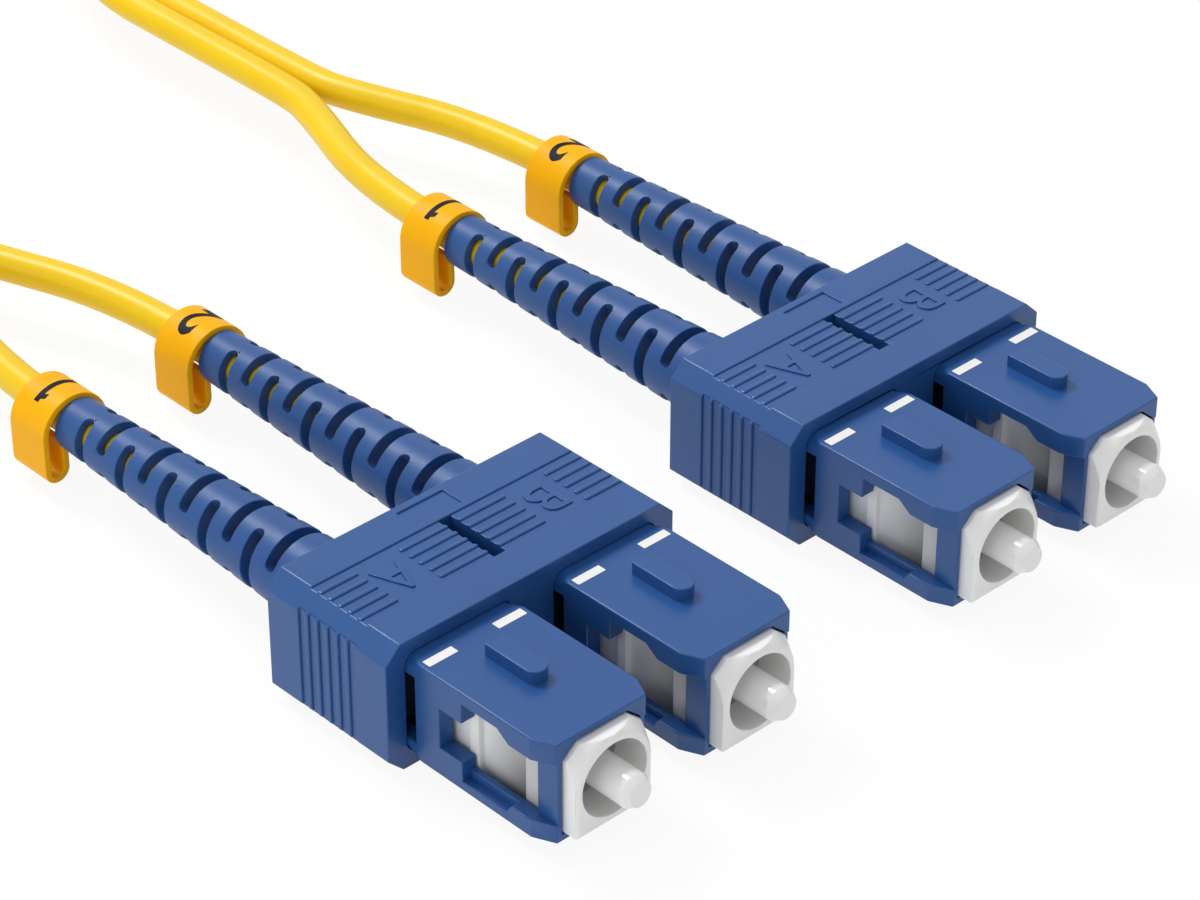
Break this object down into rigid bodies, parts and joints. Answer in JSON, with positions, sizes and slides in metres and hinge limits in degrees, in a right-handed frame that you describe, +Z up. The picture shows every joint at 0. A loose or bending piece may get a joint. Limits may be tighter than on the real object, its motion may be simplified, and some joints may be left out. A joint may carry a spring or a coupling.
{
  "type": "fibre optic patch cable",
  "caption": "Duplex fibre optic patch cable with a clipped pair of square blue plugs on each end, slotted boots, clip-on leg markers and a coiled yellow cord.",
  "frame": {"origin": "middle of the box round the two connector ends, on the surface that they lie on", "axes": "+X along the plugs towards the ferrule tips, +Y across the two ends, +Z up, the side with the keys"},
  "size_m": [0.1905, 0.07, 0.0103],
  "materials": {
    "housing_blue": "satin",
    "clip_blue": "fine satin",
    "boot_blue": "soft satin",
    "frame_white": "satin",
    "ferrule_white": "polished ceramic",
    "rear_dark": "satin",
    "metal": "turned",
    "spring_steel": "bright",
    "jacket_yellow": "satin",
    "marker_orange": "satin"
  },
  "bodies": {
    "cable": {"plug_frame_1a": "frame_white", "spring_1a": "spring_steel", "rear_body_1a": "rear_dark", "crimp_ring_1a": "metal", "boot_1a": "boot_blue", "jacket_end_1a": "jacket_yellow", "marker_1a": "marker_orange", "jacket_1a": "jacket_yellow", "plug_frame_1b": "frame_white", "spring_1b": "spring_steel", "rear_body_1b": "rear_dark", "crimp_ring_1b": "metal", "boot_1b": "boot_blue", "jacket_end_1b": "jacket_yellow", "marker_1b": "marker_orange", "jacket_1b": "jacket_yellow", "plug_frame_2a": "frame_white", "spring_2a": "spring_steel", "rear_body_2a": "rear_dark", "crimp_ring_2a": "metal", "boot_2a": "boot_blue", "jacket_end_2a": "jacket_yellow", "marker_2a": "marker_orange", "jacket_2a": "jacket_yellow", "plug_frame_2b": "frame_white", "spring_2b": "spring_steel", "rear_body_2b": "rear_dark", "crimp_ring_2b": "metal", "boot_2b": "boot_blue", "jacket_end_2b": "jacket_yellow", "marker_2b": "marker_orange", "jacket_2b": "jacket_yellow", "coil": "jacket_yellow"},
    "grip_1": {"housing_1a": "housing_blue", "housing_1b": "housing_blue", "clip_1": "clip_blue"},
    "grip_2": {"housing_2a": "housing_blue", "housing_2b": "housing_blue", "clip_2": "clip_blue"},
    "ferrule_1a": {"ferrule_1a": "ferrule_white", "ferrule_holder_1a": "metal"},
    "ferrule_1b": {"ferrule_1b": "ferrule_white", "ferrule_holder_1b": "metal"},
    "ferrule_2a": {"ferrule_2a": "ferrule_white", "ferrule_holder_2a": "metal"},
    "ferrule_2b": {"ferrule_2b": "ferrule_white", "ferrule_holder_2b": "metal"}
  },
  "joints": [
    {"name": "grip_slide_1", "type": "slide", "parent": "cable", "child": "grip_1", "axis": [-1, 0, 0], "range_m": [0, 0.0015]},
    {"name": "grip_slide_2", "type": "slide", "parent": "cable", "child": "grip_2", "axis": [-1, 0, 0], "range_m": [0, 0.0015]},
    {"name": "ferrule_slide_1a", "type": "slide", "parent": "cable", "child": "ferrule_1a", "axis": [-1, 0, 0], "range_m": [0, 0.0015], "stiffness_N_per_m": 900, "deforming": ["spring_1a"]},
    {"name": "ferrule_slide_1b", "type": "slide", "parent": "cable", "child": "ferrule_1b", "axis": [-1, 0, 0], "range_m": [0, 0.0015], "stiffness_N_per_m": 900, "deforming": ["spring_1b"]},
    {"name": "ferrule_slide_2a", "type": "slide", "parent": "cable", "child": "ferrule_2a", "axis": [-1, 0, 0], "range_m": [0, 0.0015], "stiffness_N_per_m": 900, "deforming": ["spring_2a"]},
    {"name": "ferrule_slide_2b", "type": "slide", "parent": "cable", "child": "ferrule_2b", "axis": [-1, 0, 0], "range_m": [0, 0.0015], "stiffness_N_per_m": 900, "deforming": ["spring_2b"]}
  ]
}
